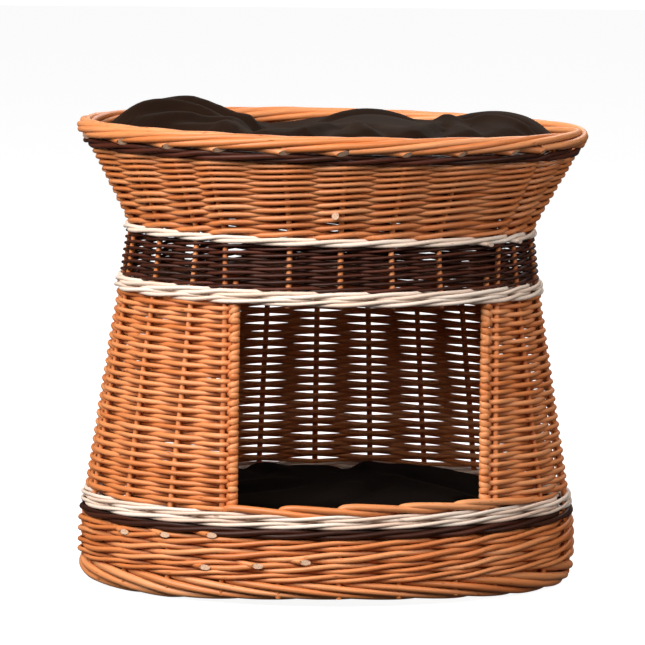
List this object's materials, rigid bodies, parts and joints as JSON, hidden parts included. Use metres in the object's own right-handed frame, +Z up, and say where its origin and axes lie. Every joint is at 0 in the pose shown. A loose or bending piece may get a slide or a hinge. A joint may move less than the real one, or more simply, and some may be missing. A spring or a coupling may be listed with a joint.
{
  "type": "wicker pet bed basket",
  "caption": "Oval wicker pet bed: a den with a doorway below and an open cushioned bed in the flared top, banded in white and dark willow.",
  "frame": {"origin": "middle of the oval, on the surface that the foot border stands on", "axes": "+Z up, +X along the oval's long axis, -Y out through the doorway"},
  "size_m": [0.556, 0.4478, 0.5245],
  "materials": {
    "buff_willow": "satin boiled willow rods",
    "willow_stick": "satin boiled willow stakes and sticks",
    "white_willow": "matte peeled willow rods",
    "dark_willow": "satin stained willow rods",
    "cushion_fabric": "matte dark brown brushed cotton",
    "fibre_filling": "white polyester fibre"
  },
  "bodies": {
    "basket": {"foot_border": "buff_willow", "floor_sticks": "willow_stick", "floor_mat": "buff_willow", "wall_stakes": "willow_stick", "door_stakes": "willow_stick", "base_wale": "buff_willow", "base_dark_band": "dark_willow", "base_white_band": "white_willow", "door_sill_border": "buff_willow", "den_wall": "buff_willow", "door_post_left": "willow_stick", "door_post_right": "willow_stick", "lintel_white_band": "white_willow", "waist_dark_band": "dark_willow", "upper_white_band": "white_willow", "bed_floor_sticks": "willow_stick", "bed_floor_mat": "buff_willow", "bed_wall": "buff_willow", "rim_dark_band": "dark_willow", "rim_border": "buff_willow"},
    "bed_cushion": {"bed_cushion_cover": "cushion_fabric", "bed_cushion_filling": "fibre_filling"},
    "den_cushion": {"den_cushion_cover": "cushion_fabric", "den_cushion_filling": "fibre_filling"}
  },
  "joints": [
    {"name": "bed_cushion_lift", "type": "slide", "parent": "basket", "child": "bed_cushion", "axis": [0, 0, 1], "range_m": [0, 0.15]},
    {"name": "den_cushion_lift", "type": "slide", "parent": "basket", "child": "den_cushion", "axis": [0, 0, 1], "range_m": [0, 0.04]}
  ]
}
